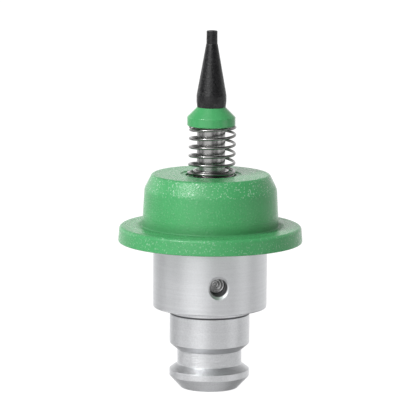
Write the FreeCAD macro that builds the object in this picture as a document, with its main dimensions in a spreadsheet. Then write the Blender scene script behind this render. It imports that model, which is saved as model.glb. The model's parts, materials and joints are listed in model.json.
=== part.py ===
import FreeCAD, Part
import math
import os
import Sketcher

# Spring-loaded vacuum pick-up nozzle, standing on its shank with the tip up.
# Millimetres, +Z towards the tip, origin at the centre of the shank's end face.
# The cross pin lies along Y.

SIZES = [
    # Turned body
    ("end_radius", 3.12, "flat end face of the shank"),
    ("end_chamfer", 1.34, "height of the long end chamfer"),
    ("shank_radius", 4.35, "shank and rim, one ground diameter"),
    ("rim_width", 0.68, "cylinder of the flared rim"),
    ("rim_slope", 0.63, "height of the cone from rim to neck"),
    ("neck_radius", 3.50, "neck that the holder grips"),
    ("neck_width", 1.56, "cylinder of the neck"),
    ("neck_slope", 0.75, "height of the cone from neck to shank"),
    ("shank_length", 3.94, "cylinder of the shank"),
    ("groove_drop", 0.67, "fine groove's centre below the seat face"),
    ("groove_width", 0.18, "fine groove along the axis"),
    ("groove_depth", 0.12, "fine groove's depth"),
    ("barrel_radius", 6.18, "thick cylinder under the disc"),
    ("barrel_length", 7.17, "seat face to the disc's underside"),
    ("spigot_radius", 5.60, "spigot inside the disc"),
    ("spigot_height", 5.40, "spigot's height above the barrel"),
    ("chamber_radius", 2.60, "bore that holds the plunger's foot"),
    ("port_radius", 1.50, "vacuum port in the end face"),
    ("port_chamfer", 0.25, "chamfer at the port's mouth"),
    # Cross pin
    ("pin_rise", 3.07, "pin's axis above the seat face"),
    ("pin_radius", 0.935, "pin and its hole"),
    ("pin_recess", 2.00, "pin's ends below the barrel's surface"),
    ("pin_chamfer", 0.08, "broken edge of the pin's ends"),
    ("mouth_chamfer", 0.33, "45 degree countersink of the cross hole"),
    # Moulded disc
    ("flange_radius", 10.00, "flange's lower edge"),
    ("flange_thickness", 1.72, "flange's thickness"),
    ("flange_draft", 0.13, "flange's loss of radius to its top"),
    ("boss_radius", 7.41, "boss wall at its foot"),
    ("boss_height", 4.07, "boss wall's height"),
    ("boss_draft", 0.23, "boss wall's loss of radius to its shoulder"),
    ("boss_foot", 0.20, "45 degree foot between flange and boss"),
    ("shoulder_height", 1.60, "steep cone from the wall to the top"),
    ("shoulder_inset", 0.80, "cone's loss of radius to the top"),
    ("shoulder_break", 0.30, "broken edge between wall and cone"),
    ("top_break", 0.25, "broken edge between cone and top"),
    ("seat_radius", 2.75, "recess that holds the spring's foot"),
    ("seat_depth", 0.46, "spring's seat below the top"),
    # Guide bush
    ("head_gap", 1.25, "space between the plunger's foot and the bush"),
    ("nose_radius", 1.95, "bush's nose inside the spring"),
    ("nose_rise", 0.88, "nose above the spring's seat"),
    ("nose_mouth", 0.16, "countersink at the nose's mouth"),
    ("nose_gap", 0.05, "clearance of the nose in the disc"),
    ("running_gap", 0.03, "plunger's clearance in the bush"),
    # Plunger
    ("plunger_radius", 1.54, "rod above the foot"),
    ("foot_gap", 0.05, "foot's clearance in the chamber"),
    ("foot_drop", 2.10, "foot's end below the pin's axis"),
    ("foot_cap", 1.40, "solid length above the slot"),
    ("foot_edge", 0.20, "chamfer of the foot's edges"),
    ("foot_bore_radius", 1.40, "wide bore that passes the pin"),
    ("floor_gap", 0.60, "space under the foot when pushed in"),
    ("airway_radius", 0.80, "bore of the rod"),
    ("slot_gap", 0.03, "slot's clearance round the pin"),
    ("stroke", 2.50, "travel of the plunger"),
    ("stem_radius", 1.00, "stem that carries collar and tip"),
    ("stem_bore_radius", 0.60, "bore of the stem"),
    ("stem_root", 0.60, "rod left solid round the stem's bore"),
    ("stem_grip", 2.50, "stem's length inside the tip"),
    # Spring
    ("coil_radius", 2.425, "coil's mean radius"),
    ("wire_radius", 0.15, "wire's radius"),
    ("spring_length", 5.72, "spring's length at rest"),
    ("active_turns", 5, "open turns"),
    ("end_turns", 1, "closed turns at each end"),
    ("end_gap", 0.01, "gap between the closed turns"),
    # Collar
    ("collar_radius", 2.62, "collar's rim"),
    ("collar_rim", 0.96, "rim's height"),
    ("collar_cone", 1.07, "cone's height"),
    # Tip
    ("tip_base_radius", 1.54, "tip's lower edge on the collar"),
    ("tip_flare", 0.58, "height of the tip's lower bevel"),
    ("tip_radius", 1.616, "tip's thickest part"),
    ("tip_land", 0.69, "height of the thickest part"),
    ("tip_cone", 5.54, "cone's height"),
    ("nib_base_radius", 0.60, "nib where the cone ends"),
    ("nib_radius", 0.586, "nib at its end face"),
    ("nib_length", 1.46, "nib's length"),
    ("orifice_radius", 0.30, "suction hole in the nib"),
    ("orifice_length", 2.20, "straight length of the suction hole"),
    ("socket_gap", 0.10, "free space above the stem"),
]

LEVELS = [
    ("rim_low", "Sizes.end_chamfer"),
    ("rim_high", "rim_low + Sizes.rim_width"),
    ("neck_low", "rim_high + Sizes.rim_slope"),
    ("neck_high", "neck_low + Sizes.neck_width"),
    ("shank_low", "neck_high + Sizes.neck_slope"),
    ("seat_face", "shank_low + Sizes.shank_length"),
    ("groove_mid", "seat_face - Sizes.groove_drop"),
    ("pin_axis", "seat_face + Sizes.pin_rise"),
    ("flange_low", "seat_face + Sizes.barrel_length"),
    ("spigot_top", "flange_low + Sizes.spigot_height"),
    ("flange_high", "flange_low + Sizes.flange_thickness"),
    ("wall_top", "flange_high + Sizes.boss_height"),
    ("boss_top", "wall_top + Sizes.shoulder_height"),
    ("spring_low", "boss_top - Sizes.seat_depth"),
    ("spring_high", "spring_low + Sizes.spring_length"),
    ("nose_top", "spring_low + Sizes.nose_rise"),
    ("foot_low", "pin_axis - Sizes.foot_drop"),
    ("chamber_floor", "foot_low - Sizes.stroke - Sizes.floor_gap"),
    ("slot_top", "pin_axis + Sizes.stroke"),
    ("foot_high", "slot_top + Sizes.pin_radius + Sizes.foot_cap"),
    ("foot_bore_top", "foot_high - Sizes.foot_cap / 2"),
    ("bush_low", "foot_high + Sizes.head_gap"),
    ("stem_bore_low", "spring_high - Sizes.stem_root"),
    ("rim_top", "spring_high + Sizes.collar_rim"),
    ("tip_low", "rim_top + Sizes.collar_cone"),
    ("stem_top", "tip_low + Sizes.stem_grip"),
    ("socket_top", "stem_top + Sizes.socket_gap"),
    ("land_low", "tip_low + Sizes.tip_flare"),
    ("land_high", "land_low + Sizes.tip_land"),
    ("cone_top", "land_high + Sizes.tip_cone"),
    ("nib_top", "cone_top + Sizes.nib_length"),
    ("orifice_low", "nib_top - Sizes.orifice_length"),
    ("end_pitch", "2 * Sizes.wire_radius + Sizes.end_gap"),
    ("coil_low", "spring_low + Sizes.wire_radius"),
    ("active_low", "coil_low + Sizes.end_turns * end_pitch"),
    ("active_high", "spring_high - Sizes.wire_radius - Sizes.end_turns * end_pitch"),
    ("active_pitch", "(active_high - active_low) / Sizes.active_turns"),
]

UP = FreeCAD.Vector(0, 0, 1)
WIRE_SIDES = 6

doc = FreeCAD.newDocument("pick_up_nozzle")


def fill_sheet(name, rows):
    """A sheet with one aliased cell and its note in each row."""
    sheet = doc.addObject("Spreadsheet::Sheet", name)
    for line, (alias, content, note) in enumerate(rows, start=1):
        sheet.set(f"A{line}", note)
        sheet.set(f"B{line}", content)
        sheet.setAlias(f"B{line}", alias)
    doc.recompute()
    return sheet


sizes = fill_sheet("Sizes", [(alias, str(value), note) for alias, value, note in SIZES])
levels = fill_sheet("Levels", [(alias, "=" + rule, "from the sizes") for alias, rule in LEVELS])


def size(alias):
    return float(sizes.get(alias))


def level(alias):
    return float(levels.get(alias))


def new_body(label):
    body = doc.addObject("PartDesign::Body", label)
    body.Label = label
    return body


def origin_plane(body, role):
    return next(feature for feature in body.Origin.OriginFeatures if feature.Role == role)


def new_sketch(body, name, role):
    """A sketch on one of the body's own origin planes."""
    sketch = body.newObject("Sketcher::SketchObject", name)
    sketch.AttachmentSupport = (origin_plane(body, role), [""])
    sketch.MapMode = "FlatFace"
    return sketch


def place_point(sketch, geometry, vertex, across, up):
    """Fix a point by two expressions from the sketch's origin; "0" puts it on that axis."""
    start = sketch.getPoint(geometry, vertex)
    for kind, rule, now, axis in (("DistanceX", across, start.x, -2), ("DistanceY", up, start.y, -1)):
        if rule == "0":
            sketch.addConstraint(Sketcher.Constraint("PointOnObject", geometry, vertex, axis))
        else:
            index = sketch.addConstraint(Sketcher.Constraint(kind, -1, 1, geometry, vertex, now))
            sketch.setExpression(f"Constraints[{index}]", rule)


def outline(body, name, role, corners):
    """A closed outline of straight lines whose corners are pairs of expressions."""
    sketch = new_sketch(body, name, role)
    count = len(corners)
    turns = [2 * math.pi * i / count for i in range(count)]
    start = [FreeCAD.Vector(2 + math.cos(turn), 2 + math.sin(turn), 0) for turn in turns]
    for i in range(count):
        sketch.addGeometry(Part.LineSegment(start[i], start[(i + 1) % count]), False)
    for i in range(count):
        sketch.addConstraint(Sketcher.Constraint("Coincident", i, 2, (i + 1) % count, 1))
    for i, (across, up) in enumerate(corners):
        place_point(sketch, i, 1, across, up)
    return sketch


def cut_checked(body, feature):
    """Recompute a cut and stop if it removed nothing."""
    before = feature.BaseFeature.Shape.Volume
    doc.recompute()
    if feature.Shape.Volume > before - 1e-6:
        raise RuntimeError(f"{body.Label}: {feature.Name} cuts nothing")
    return feature


def turned(body, name, corners):
    """Material turned about the nozzle's axis."""
    sketch = outline(body, name + "_outline", "XZ_Plane", corners)
    feature = body.newObject("PartDesign::Revolution", name)
    feature.Profile = sketch
    feature.ReferenceAxis = (sketch, ["V_Axis"])
    feature.Angle = 360
    doc.recompute()
    return feature


def bored(body, name, corners):
    """A bore turned out about the nozzle's axis."""
    sketch = outline(body, name + "_outline", "XZ_Plane", corners)
    feature = body.newObject("PartDesign::Groove", name)
    feature.Profile = sketch
    feature.ReferenceAxis = (sketch, ["V_Axis"])
    feature.Angle = 360
    return cut_checked(body, feature)


def cut_across(body, name, sketch):
    """A sketch on the XZ plane, cut right through along Y both ways."""
    feature = body.newObject("PartDesign::Pocket", name)
    feature.Profile = sketch
    feature.SideType = "Symmetric"
    feature.Type = "ThroughAll"
    return cut_checked(body, feature)


def ring_edges(shape, radius, height):
    """Names of the circular edges about Z of that radius and height."""
    names = []
    for index, edge in enumerate(shape.Edges, start=1):
        curve = edge.Curve
        if not isinstance(curve, Part.Circle):
            continue
        if abs(curve.Radius - radius) < 1e-4 and abs(curve.Center.z - height) < 1e-4:
            names.append(f"Edge{index}")
    if not names:
        raise RuntimeError(f"no edge of radius {radius} at {height}")
    return names


def broken(body, name, radius, height, rule):
    """A chamfer along the ring edge of that radius and height on the body's last feature."""
    base = body.Tip
    feature = body.newObject("PartDesign::Chamfer", name)
    feature.Base = (base, ring_edges(base.Shape, radius, height))
    feature.setExpression("Size", rule)
    doc.recompute()
    return feature


# Turned body: flared rim, neck and shank for the holder, barrel, and spigot for the disc

nozzle_body = new_body("nozzle_body")
turned(nozzle_body, "body_turning", [
    ("0", "0"),
    ("Sizes.end_radius", "0"),
    ("Sizes.shank_radius", "Levels.rim_low"),
    ("Sizes.shank_radius", "Levels.rim_high"),
    ("Sizes.neck_radius", "Levels.neck_low"),
    ("Sizes.neck_radius", "Levels.neck_high"),
    ("Sizes.shank_radius", "Levels.shank_low"),
    ("Sizes.shank_radius", "Levels.groove_mid - Sizes.groove_width / 2"),
    ("Sizes.shank_radius - Sizes.groove_depth", "Levels.groove_mid"),
    ("Sizes.shank_radius", "Levels.groove_mid + Sizes.groove_width / 2"),
    ("Sizes.shank_radius", "Levels.seat_face"),
    ("Sizes.barrel_radius", "Levels.seat_face"),
    ("Sizes.barrel_radius", "Levels.flange_low"),
    ("Sizes.spigot_radius", "Levels.flange_low"),
    ("Sizes.spigot_radius", "Levels.spigot_top"),
    ("0", "Levels.spigot_top"),
])
bored(nozzle_body, "body_bores", [
    ("0", "0"),
    ("Sizes.port_radius + Sizes.port_chamfer", "0"),
    ("Sizes.port_radius", "Sizes.port_chamfer"),
    ("Sizes.port_radius", "Levels.chamber_floor"),
    ("Sizes.chamber_radius", "Levels.chamber_floor"),
    ("Sizes.chamber_radius", "Levels.spigot_top"),
    ("0", "Levels.spigot_top"),
])

# Cross hole with a countersink at both mouths

hole_sketch = new_sketch(nozzle_body, "cross_hole_circle", "XZ_Plane")
hole_sketch.addGeometry(Part.Circle(FreeCAD.Vector(0, 1, 0), UP, 0.5), False)
place_point(hole_sketch, 0, 3, "0", "Levels.pin_axis")
radius_index = hole_sketch.addConstraint(Sketcher.Constraint("Radius", 0, 0.5))
hole_sketch.setExpression(f"Constraints[{radius_index}]", "Sizes.pin_radius")
cut_across(nozzle_body, "cross_hole", hole_sketch)

hole_top = "Levels.pin_axis + Sizes.pin_radius"
mouth_sketch = outline(nozzle_body, "mouth_outline", "YZ_Plane", [
    ("Sizes.barrel_radius - Sizes.mouth_chamfer", "Levels.pin_axis"),
    ("Sizes.barrel_radius + Sizes.mouth_chamfer", "Levels.pin_axis"),
    ("Sizes.barrel_radius + Sizes.mouth_chamfer", f"{hole_top} + 2 * Sizes.mouth_chamfer"),
    ("Sizes.barrel_radius - Sizes.mouth_chamfer", hole_top),
])
mouth = nozzle_body.newObject("PartDesign::Groove", "back_mouth")
mouth.Profile = mouth_sketch
mouth.ReferenceAxis = (mouth_sketch, ["Edge1"])
mouth.Angle = 360
cut_checked(nozzle_body, mouth)
front_mouth = nozzle_body.newObject("PartDesign::Mirrored", "front_mouth")
front_mouth.Originals = [mouth]
front_mouth.MirrorPlane = (origin_plane(nozzle_body, "XZ_Plane"), [""])
nozzle_body.Tip = front_mouth
doc.recompute()

# Cross pin, made along its own axis and laid across the body

cross_pin = new_body("cross_pin")
pin_half = "(Sizes.barrel_radius - Sizes.pin_recess)"
turned(cross_pin, "pin_turning", [
    ("0", "0"),
    ("Sizes.pin_radius - Sizes.pin_chamfer", "0"),
    ("Sizes.pin_radius", "Sizes.pin_chamfer"),
    ("Sizes.pin_radius", f"2 * {pin_half} - Sizes.pin_chamfer"),
    ("Sizes.pin_radius - Sizes.pin_chamfer", f"2 * {pin_half}"),
    ("0", f"2 * {pin_half}"),
])
cross_pin.Placement = FreeCAD.Placement(FreeCAD.Vector(), FreeCAD.Rotation(FreeCAD.Vector(1, 0, 0), 90))
cross_pin.setExpression(".Placement.Base.y", pin_half)
cross_pin.setExpression(".Placement.Base.z", "Levels.pin_axis")

# Moulded disc: a cap over the spigot with a thin flange round it

diffuser_disc = new_body("diffuser_disc")
turned(diffuser_disc, "disc_moulding", [
    ("Sizes.spigot_radius", "Levels.flange_low"),
    ("Sizes.flange_radius", "Levels.flange_low"),
    ("Sizes.flange_radius - Sizes.flange_draft", "Levels.flange_high"),
    ("Sizes.boss_radius", "Levels.flange_high"),
    ("Sizes.boss_radius - Sizes.boss_draft", "Levels.wall_top"),
    ("Sizes.boss_radius - Sizes.boss_draft - Sizes.shoulder_inset", "Levels.boss_top"),
    ("Sizes.seat_radius", "Levels.boss_top"),
    ("Sizes.seat_radius", "Levels.spring_low"),
    ("Sizes.nose_radius + Sizes.nose_gap", "Levels.spring_low"),
    ("Sizes.nose_radius + Sizes.nose_gap", "Levels.spigot_top"),
    ("Sizes.spigot_radius", "Levels.spigot_top"),
])
wall_radius = size("boss_radius") - size("boss_draft")
top_radius = wall_radius - size("shoulder_inset")
broken(diffuser_disc, "foot_ring", size("boss_radius"), level("flange_high"), "Sizes.boss_foot")
broken(diffuser_disc, "shoulder_ring", wall_radius, level("wall_top"), "Sizes.shoulder_break")
broken(diffuser_disc, "top_ring", top_radius, level("boss_top"), "Sizes.top_break")

# Guide bush: pressed into the chamber, its nose stands inside the spring

guide_bush = new_body("guide_bush")
bush_bore = "Sizes.plunger_radius + Sizes.running_gap"
turned(guide_bush, "bush_turning", [
    (bush_bore, "Levels.bush_low"),
    ("Sizes.chamber_radius", "Levels.bush_low"),
    ("Sizes.chamber_radius", "Levels.spigot_top"),
    ("Sizes.nose_radius", "Levels.spigot_top"),
    ("Sizes.nose_radius", "Levels.nose_top"),
    (f"{bush_bore} + Sizes.nose_mouth", "Levels.nose_top"),
    (bush_bore, "Levels.nose_top - Sizes.nose_mouth"),
])

# Plunger: a slotted foot in the chamber, the rod, and the stem for collar and tip

plunger_tube = new_body("plunger_tube")
foot_radius = "Sizes.chamber_radius - Sizes.foot_gap"
turned(plunger_tube, "plunger_turning", [
    ("Sizes.foot_bore_radius", "Levels.foot_low"),
    (f"{foot_radius} - Sizes.foot_edge", "Levels.foot_low"),
    (foot_radius, "Levels.foot_low + Sizes.foot_edge"),
    (foot_radius, "Levels.foot_high - Sizes.foot_edge"),
    (f"{foot_radius} - Sizes.foot_edge", "Levels.foot_high"),
    ("Sizes.plunger_radius", "Levels.foot_high"),
    ("Sizes.plunger_radius", "Levels.spring_high"),
    ("Sizes.stem_radius", "Levels.spring_high"),
    ("Sizes.stem_radius", "Levels.stem_top"),
    ("Sizes.stem_bore_radius", "Levels.stem_top"),
    ("Sizes.stem_bore_radius", "Levels.stem_bore_low"),
    ("Sizes.airway_radius", "Levels.stem_bore_low"),
    ("Sizes.airway_radius", "Levels.foot_bore_top"),
    ("Sizes.foot_bore_radius", "Levels.foot_bore_top"),
])

# The slot lets the plunger slide by its stroke and keeps it from turning

slot_sketch = new_sketch(plunger_tube, "slot_outline", "XZ_Plane")
slot_half = size("pin_radius") + size("slot_gap")
low_centre = FreeCAD.Vector(0, level("pin_axis"), 0)
high_centre = FreeCAD.Vector(0, level("slot_top"), 0)
side = FreeCAD.Vector(slot_half, 0, 0)
low_arc = Part.ArcOfCircle(Part.Circle(low_centre, UP, slot_half), math.pi, 2 * math.pi)
high_arc = Part.ArcOfCircle(Part.Circle(high_centre, UP, slot_half), 0, math.pi)
slot_sketch.addGeometry(low_arc, False)
slot_sketch.addGeometry(Part.LineSegment(low_centre + side, high_centre + side), False)
slot_sketch.addGeometry(high_arc, False)
slot_sketch.addGeometry(Part.LineSegment(high_centre - side, low_centre - side), False)
for first, second in ((0, 1), (1, 2), (2, 3), (3, 0)):
    slot_sketch.addConstraint(Sketcher.Constraint("Tangent", first, 2, second, 1))
slot_sketch.addConstraint(Sketcher.Constraint("Equal", 0, 2))
place_point(slot_sketch, 0, 3, "0", "Levels.pin_axis")
place_point(slot_sketch, 2, 3, "0", "Levels.slot_top")
radius_index = slot_sketch.addConstraint(Sketcher.Constraint("Radius", 0, slot_half))
slot_sketch.setExpression(f"Constraints[{radius_index}]", "Sizes.pin_radius + Sizes.slot_gap")
cut_across(plunger_tube, "pin_slot", slot_sketch)

# Spring: right-hand coil with closed ends, its round wire drawn with few sides of equal area.
# Half a turn about Z brings the ends of the wire to -X.

spring = new_body("spring")
spring.Placement = FreeCAD.Placement(FreeCAD.Vector(), FreeCAD.Rotation(UP, 180))
half_side = math.pi / WIRE_SIDES
corner_share = math.sqrt(half_side / (math.sin(half_side) * math.cos(half_side)))
corner_turns = [2 * half_side * i for i in range(WIRE_SIDES)]
wire_corners = [(corner_share * math.cos(turn), corner_share * math.sin(turn)) for turn in corner_turns]


def coil(name, start, pitch, turns):
    """A run of coil whose wire starts on the height given."""
    corners = []
    for across, rise in wire_corners:
        offset = f"Sizes.coil_radius + {across:.6f} * Sizes.wire_radius"
        corners.append((offset, f"{start} + {rise:.6f} * Sizes.wire_radius"))
    section = outline(spring, name + "_wire", "XZ_Plane", corners)
    doc.recompute()
    feature = spring.newObject("PartDesign::AdditiveHelix", name)
    feature.Profile = section
    feature.ReferenceAxis = (section, ["V_Axis"])
    feature.Mode = "pitch-turns-angle"
    feature.setExpression("Pitch", pitch)
    feature.setExpression("Turns", turns)
    doc.recompute()


coil("low_end", "Levels.coil_low", "Levels.end_pitch", "Sizes.end_turns")
coil("open_coil", "Levels.active_low", "Levels.active_pitch", "Sizes.active_turns")
coil("high_end", "Levels.active_high", "Levels.end_pitch", "Sizes.end_turns")

# Collar: the spring's upper seat, on the plunger's shoulder

tip_collar = new_body("tip_collar")
turned(tip_collar, "collar_moulding", [
    ("Sizes.stem_radius", "Levels.spring_high"),
    ("Sizes.collar_radius", "Levels.spring_high"),
    ("Sizes.collar_radius", "Levels.rim_top"),
    ("Sizes.tip_base_radius", "Levels.tip_low"),
    ("Sizes.stem_radius", "Levels.tip_low"),
])

# Tip: a hollow cone pressed on the stem, with the suction hole in its nib

nozzle_tip = new_body("nozzle_tip")
turned(nozzle_tip, "tip_moulding", [
    ("Sizes.stem_radius", "Levels.tip_low"),
    ("Sizes.tip_base_radius", "Levels.tip_low"),
    ("Sizes.tip_radius", "Levels.land_low"),
    ("Sizes.tip_radius", "Levels.land_high"),
    ("Sizes.nib_base_radius", "Levels.cone_top"),
    ("Sizes.nib_radius", "Levels.nib_top"),
    ("Sizes.orifice_radius", "Levels.nib_top"),
    ("Sizes.orifice_radius", "Levels.orifice_low"),
    ("Sizes.stem_bore_radius", "Levels.socket_top"),
    ("Sizes.stem_radius", "Levels.socket_top"),
])

doc.recompute()
bodies = [
    nozzle_body, cross_pin, diffuser_disc, guide_bush, plunger_tube, spring, tip_collar, nozzle_tip,
]
for item in doc.Objects:
    if "Invalid" in item.State or "Error" in item.State:
        raise RuntimeError(f"{item.Label} failed")
for body in bodies:
    if body.Shape.isNull() or not body.Shape.isValid() or len(body.Shape.Solids) != 1:
        raise RuntimeError(f"{body.Label} isn't one valid solid")

os.makedirs("parts", exist_ok=True)
for body in bodies:
    body.Shape.exportStep(f"parts/{body.Label}.step")
    box = body.Shape.BoundBox
    print(f"{body.Label}: {body.Shape.Volume:.2f} mm3, z {box.ZMin:.2f} to {box.ZMax:.2f}")
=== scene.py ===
import json
import math

import bmesh
import bpy
from bpy.props import FloatProperty, FloatVectorProperty, IntProperty, PointerProperty
from mathutils import Matrix, Vector


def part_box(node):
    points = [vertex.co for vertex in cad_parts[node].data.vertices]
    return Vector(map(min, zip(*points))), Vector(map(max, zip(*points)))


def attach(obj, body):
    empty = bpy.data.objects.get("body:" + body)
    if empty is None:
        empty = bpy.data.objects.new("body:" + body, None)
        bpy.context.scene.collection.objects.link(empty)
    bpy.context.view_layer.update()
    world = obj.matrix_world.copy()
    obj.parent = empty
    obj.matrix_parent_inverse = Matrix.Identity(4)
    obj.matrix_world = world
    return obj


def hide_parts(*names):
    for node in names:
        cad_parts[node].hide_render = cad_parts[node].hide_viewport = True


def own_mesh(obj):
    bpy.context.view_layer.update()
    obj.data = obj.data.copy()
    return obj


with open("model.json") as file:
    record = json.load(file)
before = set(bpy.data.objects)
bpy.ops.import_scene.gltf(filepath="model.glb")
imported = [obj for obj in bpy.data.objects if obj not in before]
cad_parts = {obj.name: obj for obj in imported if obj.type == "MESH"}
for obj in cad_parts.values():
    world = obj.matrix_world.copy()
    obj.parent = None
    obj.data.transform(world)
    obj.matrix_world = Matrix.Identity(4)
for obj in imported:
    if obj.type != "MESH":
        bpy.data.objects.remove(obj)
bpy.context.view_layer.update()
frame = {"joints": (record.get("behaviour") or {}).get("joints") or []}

bl_info = {
    "name": "Pick-up nozzle",
    "version": (1, 0, 0),
    "blender": (4, 5, 0),
    "location": "3D View > Sidebar > Nozzle",
    "description": "Builds a spring-loaded vacuum pick-up nozzle on its packed frame",
    "category": "Add Mesh",
}

MM = 0.001
BODY_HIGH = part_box("nozzle_body")[1]
PIN_LOW, PIN_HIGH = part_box("cross_pin")
DISC_LOW, DISC_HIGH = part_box("diffuser_disc")
BUSH_LOW, BUSH_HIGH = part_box("guide_bush")
ROD_LOW, ROD_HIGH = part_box("plunger_tube")
COLLAR_LOW, COLLAR_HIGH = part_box("tip_collar")
TIP_LOW, TIP_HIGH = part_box("nozzle_tip")
PIN_RADIUS, PIN_HALF = PIN_HIGH[0], PIN_HIGH[1]
PIN_HEIGHT = (PIN_LOW[2] + PIN_HIGH[2]) / 2
STROKE = frame["joints"][0]["range_m"][1]

# Sides of a turned mesh: body and disc, collar and tip, rod and bush, pin and its hole
WIDE_SIDES = 256
TIP_SIDES = 160
ROD_SIDES = 128
PIN_SIDES = 96

# The most that one face of a round turns, and the least turn that is shaded as an edge
ROUND_DEGREES = 11
SHARP_DEGREES = 30
# The most of a straight run that a round takes, and a guard point's distance from the round
# as a share of the round's radius and of the run
ROUND_SHARE = 0.45
GUARD_SHARES = 0.3, 0.04
# Points nearer than this to the axis, or to each other, are one
ON_AXIS = 1e-9
SAME_POINT = 1e-8
# How far a cutter reaches past the piece that it cuts
OVERRUN = 1 * MM


# Properties

def length(name, millimetres, description, least=0):
    return FloatProperty(name=name, description=description, default=millimetres * MM,
                         min=least * MM, precision=5, unit="LENGTH")


def share(name, value, description):
    return FloatProperty(name=name, description=description, default=value, min=0, max=1,
                         subtype="FACTOR")


def colour(name, value, description):
    return FloatVectorProperty(name=name, description=description, default=value, min=0, max=1,
                               size=3, subtype="COLOR")


def strength(name, value, description):
    return FloatProperty(name=name, description=description, default=value, min=0)


def turn(name, degrees, description):
    return FloatProperty(name=name, description=description, default=math.radians(degrees),
                         subtype="ANGLE")


class BodySizes(bpy.types.PropertyGroup):
    """Sizes of the turned body and its cross pin"""
    end_radius: length("End radius", 3.12, "Flat end face of the shank")
    rim_low: length("Rim's lower edge", 1.34, "Height of the end chamfer")
    rim_high: length("Rim's upper edge", 2.02, "Top of the rim's cylinder")
    neck_low: length("Neck's lower edge", 2.65, "Top of the rim's cone")
    neck_high: length("Neck's upper edge", 4.21, "Foot of the shank's cone")
    neck_radius: length("Neck radius", 3.50, "Neck that the holder grips")
    shank_low: length("Shank's lower edge", 4.96, "Top of the shank's cone")
    shank_radius: length("Shank radius", 4.35, "Shank and rim")
    groove_height: length("Groove height", 8.23, "Centre of the fine groove")
    groove_width: length("Groove width", 0.18, "Width of the fine groove")
    groove_depth: length("Groove depth", 0.12, "Depth of the fine groove")
    seat_face: length("Seat face", 8.90, "Shoulder between shank and barrel")
    spigot_radius: length("Spigot radius", 5.60, "Spigot inside the disc")
    chamber_radius: length("Chamber radius", 2.60, "Bore that guides the plunger's foot")
    chamber_floor: length("Chamber floor", 6.77, "Height of the chamber's floor")
    port_radius: length("Port radius", 1.50, "Vacuum port in the end face")
    port_chamfer: length("Port chamfer", 0.25, "Chamfer at the port's mouth")
    hole_gap: length("Hole gap", 0.01, "Gap between the cross hole and its pin")
    mouth_width: length("Countersink width", 0.35, "Cross hole's countersink, across its slope")
    mouth_depth: length("Countersink depth", 0.22, "Depth of that countersink")
    pin_bevel: length("Pin bevel", 0.08, "Bevel round each end of the pin")
    centre_radius: length("Centre radius", 0.80, "Centre hole in each end of the pin")
    centre_depth: length("Centre depth", 0.90, "Depth of that centre hole")
    ridge_pitch: length("Ridge pitch", 0.30, "Spacing of the turned ridges in the centre hole")
    ridge_height: length("Ridge height", 0.045, "Height of the turned ridges in the centre hole")


class DiscSizes(bpy.types.PropertyGroup):
    """Sizes of the moulded disc and the guide bush"""
    flange_top: length("Flange top", 17.79, "Height of the flange's upper face")
    flange_draft: length("Flange draft", 0.13, "Flange's loss of radius to its top")
    boss_radius: length("Boss radius", 7.41, "Boss wall at its foot")
    wall_top: length("Wall top", 21.86, "Height where the shoulder starts")
    wall_draft: length("Wall draft", 0.23, "Wall's loss of radius to the shoulder")
    shoulder_inset: length("Shoulder inset", 0.80, "Cone's loss of radius to the top")
    step_radius: length("Step radius", 3.30, "Shallow step in the top")
    step_depth: length("Step depth", 0.09, "Depth of the shallow step")
    step_draft: length("Step draft", 0.03, "Step's loss of radius to its bottom")
    seat_radius: length("Seat radius", 2.75, "Recess that holds the spring's foot")
    seat_depth: length("Seat depth", 0.46, "Spring's seat below the top")
    nose_radius: length("Nose radius", 1.95, "Bush's nose inside the spring")
    nose_gap: length("Nose gap", 0.05, "Gap between the nose and the disc")
    nose_mouth: length("Nose mouth", 0.16, "Countersink at the nose's mouth")


class PlungerSizes(bpy.types.PropertyGroup):
    """Sizes of the rod, the spring and the collar"""
    rod_radius: length("Rod radius", 1.54, "Rod above the foot")
    running_gap: length("Running gap", 0.03, "Rod's clearance in the bush")
    foot_high: length("Foot's top", 16.805, "Height of the foot's upper face")
    foot_bevel: length("Foot bevel", 0.20, "Bevel round both ends of the foot")
    foot_bore: length("Foot bore", 1.40, "Radius of the bore in the foot")
    foot_roof: length("Foot roof", 0.70, "Wall between that bore and the foot's top")
    slot_gap: length("Slot gap", 0.03, "Gap between the foot's slot and the pin")
    stem_radius: length("Stem radius", 1.00, "Stem that carries collar and tip")
    stem_bore: length("Stem bore", 0.60, "Radius of the airway in the stem")
    stem_root: length("Stem root", 0.60, "Narrow airway's reach below the collar")
    airway_radius: length("Airway radius", 0.80, "Bore of the rod")
    coil_radius: length("Coil radius", 2.425, "Coil's mean radius")
    wire_radius: length("Wire radius", 0.15, "Radius of the spring's wire")
    end_pitch: length("End pitch", 0.40, "Rise of the closed turn at the foot")
    open_pitch: length("Open pitch", 0.942, "Rise of an open turn")
    turns: IntProperty(name="Turns", description="All turns of the coil", default=7, min=3, max=30)
    lean: length("Lean", 0.34, "How far the lowest open turn hangs on one side")
    drift_low: length("Low drift", -0.02, "Sideways place of the coil at its foot", -1)
    drift_high: length("High drift", 0.16, "Sideways place of the coil under the collar")
    collar_rim: length("Collar rim", 0.96, "Height of the collar's rim")


class TipSizes(bpy.types.PropertyGroup):
    """Sizes of the black tip"""
    base_radius: length("Base radius", 1.54, "Tip's lower edge on the collar")
    widest_low: length("Widest, low", 0.58, "Start of the thickest part above the base")
    widest_high: length("Widest, high", 1.27, "End of the thickest part above the base")
    nib_length: length("Nib length", 1.46, "Straight end of the tip")
    nib_step: length("Nib step", 0.03, "Cone's end outside the nib")
    nib_rise: length("Nib rise", 0.04, "Height of that step")
    nib_base_radius: length("Nib base radius", 0.60, "Nib where the cone ends")
    nib_radius: length("Nib radius", 0.586, "Nib at its end face")
    orifice_radius: length("Orifice radius", 0.30, "Suction hole in the nib")
    orifice_depth: length("Orifice depth", 2.20, "Where the suction hole starts to widen")
    socket_depth: length("Socket depth", 2.60, "Socket that takes the rod's stem")


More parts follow.
